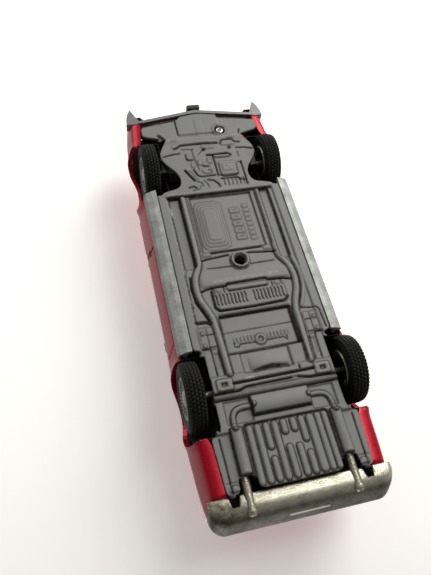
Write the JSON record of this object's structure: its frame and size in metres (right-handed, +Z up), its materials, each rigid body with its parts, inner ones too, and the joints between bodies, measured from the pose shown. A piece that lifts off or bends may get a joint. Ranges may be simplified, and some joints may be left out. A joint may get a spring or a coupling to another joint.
{
  "type": "die-cast toy car",
  "caption": "Die-cast two-door fastback toy car with moulded grey base, rolling wheels on steel axles, opening doors and lifting headlamps worked by a lever.",
  "frame": {"origin": "on the ground under the middle of the bounding box, wheels on z = 0", "axes": "+Z up, nose towards -Y, the car's left side towards +X"},
  "size_m": [0.0474, 0.1272, 0.0317],
  "materials": {
    "paint": "metallic crimson stove enamel",
    "grey_plastic": "moulded mid-grey plastic, satin",
    "zinc": "bare die-cast zinc, dull and mottled",
    "nickel": "aged nickel finish, pitted",
    "steel": "drawn steel",
    "lamp_red": "clear red plastic",
    "plate_white": "blank white plate",
    "glazing": "clear moulded glazing",
    "interior": "cream moulding",
    "dark_plastic": "dark grey moulding",
    "hub_metal": "bright cast hub with serrated rim",
    "tyre": "black rubber with block tread",
    "lens": "clear lamp lens",
    "lever_brown": "dark brown lever"
  },
  "bodies": {
    "root": {"body_shell": "paint", "hinge_pin_left": "steel", "hinge_pin_right": "steel", "base_plate": "grey_plastic", "sill_left": "zinc", "sill_right": "zinc", "front_bumper": "nickel", "rear_bumper": "nickel", "grille": "nickel", "exhaust_tip_left": "nickel", "exhaust_tip_right": "nickel", "tail_lamp_left": "lamp_red", "tail_lamp_right": "lamp_red", "number_plate_front": "plate_white", "number_plate_rear": "plate_white", "window_glazing": "glazing", "interior_tub": "interior", "front_seats": "interior", "rear_seat": "interior", "dashboard": "dark_plastic", "steering_wheel": "dark_plastic", "front_axle_bracket": "dark_plastic", "rear_axle_bracket": "dark_plastic", "headlamp_shaft_clips": "dark_plastic", "lever_rivet": "steel"},
    "front_wheels": {"front_axle": "steel", "front_hub_left": "hub_metal", "front_hub_right": "hub_metal", "front_tyre_left": "tyre", "front_tyre_right": "tyre"},
    "rear_wheels": {"rear_axle": "steel", "rear_hub_left": "hub_metal", "rear_hub_right": "hub_metal", "rear_tyre_left": "tyre", "rear_tyre_right": "tyre"},
    "left_door": {"door_left": "paint"},
    "right_door": {"door_right": "paint"},
    "headlamps": {"headlamp_unit": "paint", "headlamp_lens_left": "lens", "headlamp_lens_right": "lens"},
    "lever": {"headlamp_lever": "lever_brown"}
  },
  "joints": [
    {"name": "front_axle_spin", "type": "hinge", "parent": "root", "child": "front_wheels", "pos_m": [0, -0.0384, 0.00885], "axis": [1, 0, 0], "continuous": true},
    {"name": "rear_axle_spin", "type": "hinge", "parent": "root", "child": "rear_wheels", "pos_m": [0, 0.032, 0.00885], "axis": [1, 0, 0], "continuous": true},
    {"name": "left_door_swing", "type": "hinge", "parent": "root", "child": "left_door", "pos_m": [0.0222, -0.0119, 0.0139], "axis": [0, 0, -1], "range_deg": [0, 55]},
    {"name": "right_door_swing", "type": "hinge", "parent": "root", "child": "right_door", "pos_m": [-0.0222, -0.0119, 0.0139], "axis": [0, 0, 1], "range_deg": [0, 55]},
    {"name": "lever_swing", "type": "hinge", "parent": "root", "child": "lever", "pos_m": [0.0059, -0.0504, 0.0082], "axis": [0, 0, 1], "range_deg": [0, 15.2]},
    {"name": "headlamp_lift", "type": "hinge", "parent": "root", "child": "headlamps", "pos_m": [0, -0.0534, 0.0173], "axis": [-1, 0, 0], "range_deg": [0, 38]}
  ],
  "couplings": [
    {"joint": "headlamp_lift", "follows": "lever_swing", "ratio": 2.5}
  ]
}
